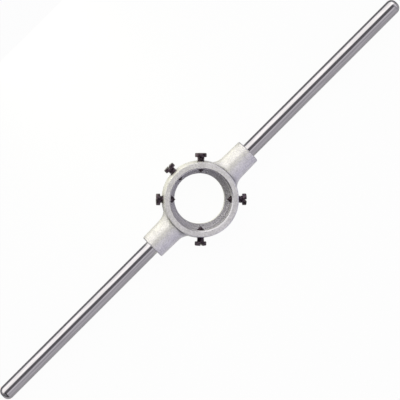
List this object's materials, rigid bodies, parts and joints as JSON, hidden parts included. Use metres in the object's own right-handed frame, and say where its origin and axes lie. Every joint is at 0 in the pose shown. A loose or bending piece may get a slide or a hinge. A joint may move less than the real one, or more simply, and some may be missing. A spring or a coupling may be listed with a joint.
{
  "type": "die stock handle",
  "caption": "Stock for turning round threading dies by hand: a cast ring with a stepped die seat, radial slotted clamping screws and round bar handles in line.",
  "frame": {"origin": "centre of the through bore in the ring's back face, on which the stock lies", "axes": "+Z along the bore, out of the mouth of the die seat; +X along the right handle; +Y towards the splitting screw"},
  "size_m": [0.5902, 0.0903, 0.032],
  "materials": {
    "cast_metal": "satin",
    "bright_steel": "polished",
    "blackened_steel": "satin"
  },
  "bodies": {
    "stock": {"stock_body": "cast_metal", "handle_right": "bright_steel", "handle_left": "bright_steel"},
    "splitting_screw": {"splitting_screw": "blackened_steel"},
    "clamping_screw_right_upper": {"clamping_screw_right_upper": "blackened_steel"},
    "clamping_screw_left_upper": {"clamping_screw_left_upper": "blackened_steel"},
    "clamping_screw_left_lower": {"clamping_screw_left_lower": "blackened_steel"},
    "clamping_screw_right_lower": {"clamping_screw_right_lower": "blackened_steel"}
  },
  "joints": [
    {"name": "splitting_screw_travel", "type": "slide", "parent": "stock", "child": "splitting_screw", "axis": [0, -1, 0], "range_m": [-0.0058, 0.0035]},
    {"name": "right_upper_screw_travel", "type": "slide", "parent": "stock", "child": "clamping_screw_right_upper", "axis": [-0.7071, -0.7071, 0], "range_m": [-0.0059, 0.0034]},
    {"name": "left_upper_screw_travel", "type": "slide", "parent": "stock", "child": "clamping_screw_left_upper", "axis": [0.7071, -0.7071, 0], "range_m": [-0.0076, 0.0017]},
    {"name": "left_lower_screw_travel", "type": "slide", "parent": "stock", "child": "clamping_screw_left_lower", "axis": [0.7071, 0.7071, 0], "range_m": [-0.006, 0.0033]},
    {"name": "right_lower_screw_travel", "type": "slide", "parent": "stock", "child": "clamping_screw_right_lower", "axis": [-0.7071, 0.7071, 0], "range_m": [-0.0065, 0.0028]}
  ]
}
